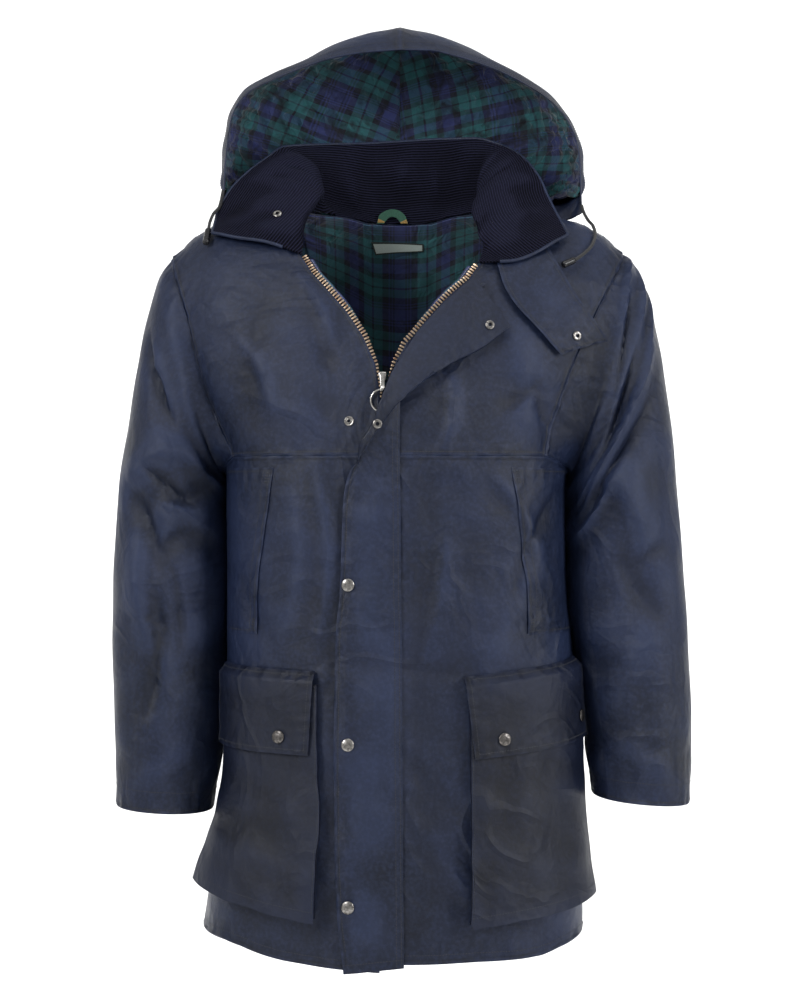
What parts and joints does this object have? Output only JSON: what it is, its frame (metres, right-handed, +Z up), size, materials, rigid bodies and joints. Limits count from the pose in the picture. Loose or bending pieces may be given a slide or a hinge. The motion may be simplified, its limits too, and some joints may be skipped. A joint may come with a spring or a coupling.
{
  "type": "hooded jacket",
  "caption": "Hooded waxed cotton jacket with a corduroy collar, zip under a storm flap and bellows pockets, in worn form with no wearer.",
  "frame": {"origin": "at the base of the wearer's neck, in the middle between the shoulders, where the empty garment is held", "axes": "+Z up, the front faces -Y, +X to the wearer's left"},
  "size_m": [0.7104, 0.3577, 1.1616],
  "materials": {
    "waxed_cotton": "waxed cotton, softly shiny where it is rubbed, dull elsewhere",
    "corduroy": "fine cotton corduroy, its wales running along the band",
    "tartan_cotton": "printed cotton tartan in navy, green and black, quilted in the hood",
    "zip_tape": "woven cotton tape",
    "brass_teeth": "stamped brass, lightly worn",
    "nickel": "polished nickel plate on brass",
    "antique_silver": "antique silver plate, darkened and rubbed back",
    "green_tape": "woven green tape",
    "label": "woven grey-green label, left bare",
    "black_cord": "round braided polyester cord",
    "black_plastic": "glossy moulded plastic"
  },
  "bodies": {
    "garment": {"back": "waxed_cotton", "back_lining": "tartan_cotton", "back_yoke": "waxed_cotton", "collar": "corduroy", "collar_socket": "nickel", "cord_end_left": "black_plastic", "cord_end_right": "black_plastic", "drawcord_left": "black_cord", "drawcord_right": "black_cord", "facing_left": "tartan_cotton", "facing_right": "tartan_cotton", "flap_snap_1": "nickel", "flap_snap_2": "nickel", "flap_snap_3": "nickel", "flap_socket_1": "nickel", "flap_socket_2": "nickel", "front_left": "waxed_cotton", "front_right": "waxed_cotton", "handwarmer_left": "waxed_cotton", "handwarmer_right": "waxed_cotton", "hanger_loop": "green_tape", "hood_left": "waxed_cotton", "hood_lining_left": "tartan_cotton", "hood_lining_right": "tartan_cotton", "hood_right": "waxed_cotton", "neck_label": "label", "pocket_flap_left": "waxed_cotton", "pocket_flap_right": "waxed_cotton", "pocket_left": "waxed_cotton", "pocket_right": "waxed_cotton", "pocket_snap_left": "antique_silver", "pocket_snap_right": "antique_silver", "side_snap": "antique_silver", "sleeve_left": "waxed_cotton", "sleeve_right": "waxed_cotton", "storm_flap": "waxed_cotton", "tab_socket": "nickel", "throat_tab": "waxed_cotton", "yoke_left": "waxed_cotton", "yoke_right": "waxed_cotton", "yoke_stud": "nickel", "zip_chain_left": "brass_teeth", "zip_chain_right": "brass_teeth", "zip_link": "nickel", "zip_slider": "nickel", "zip_tape_left": "zip_tape", "zip_tape_right": "zip_tape"},
    "ring": {"zip_ring": "nickel"}
  },
  "joints": [
    {"name": "ring_swing", "type": "hinge", "parent": "garment", "child": "ring", "pos_m": [-0.0211, -0.15575, -0.21375], "axis": [1, 0, 0], "range_deg": [-9, 1]}
  ]
}
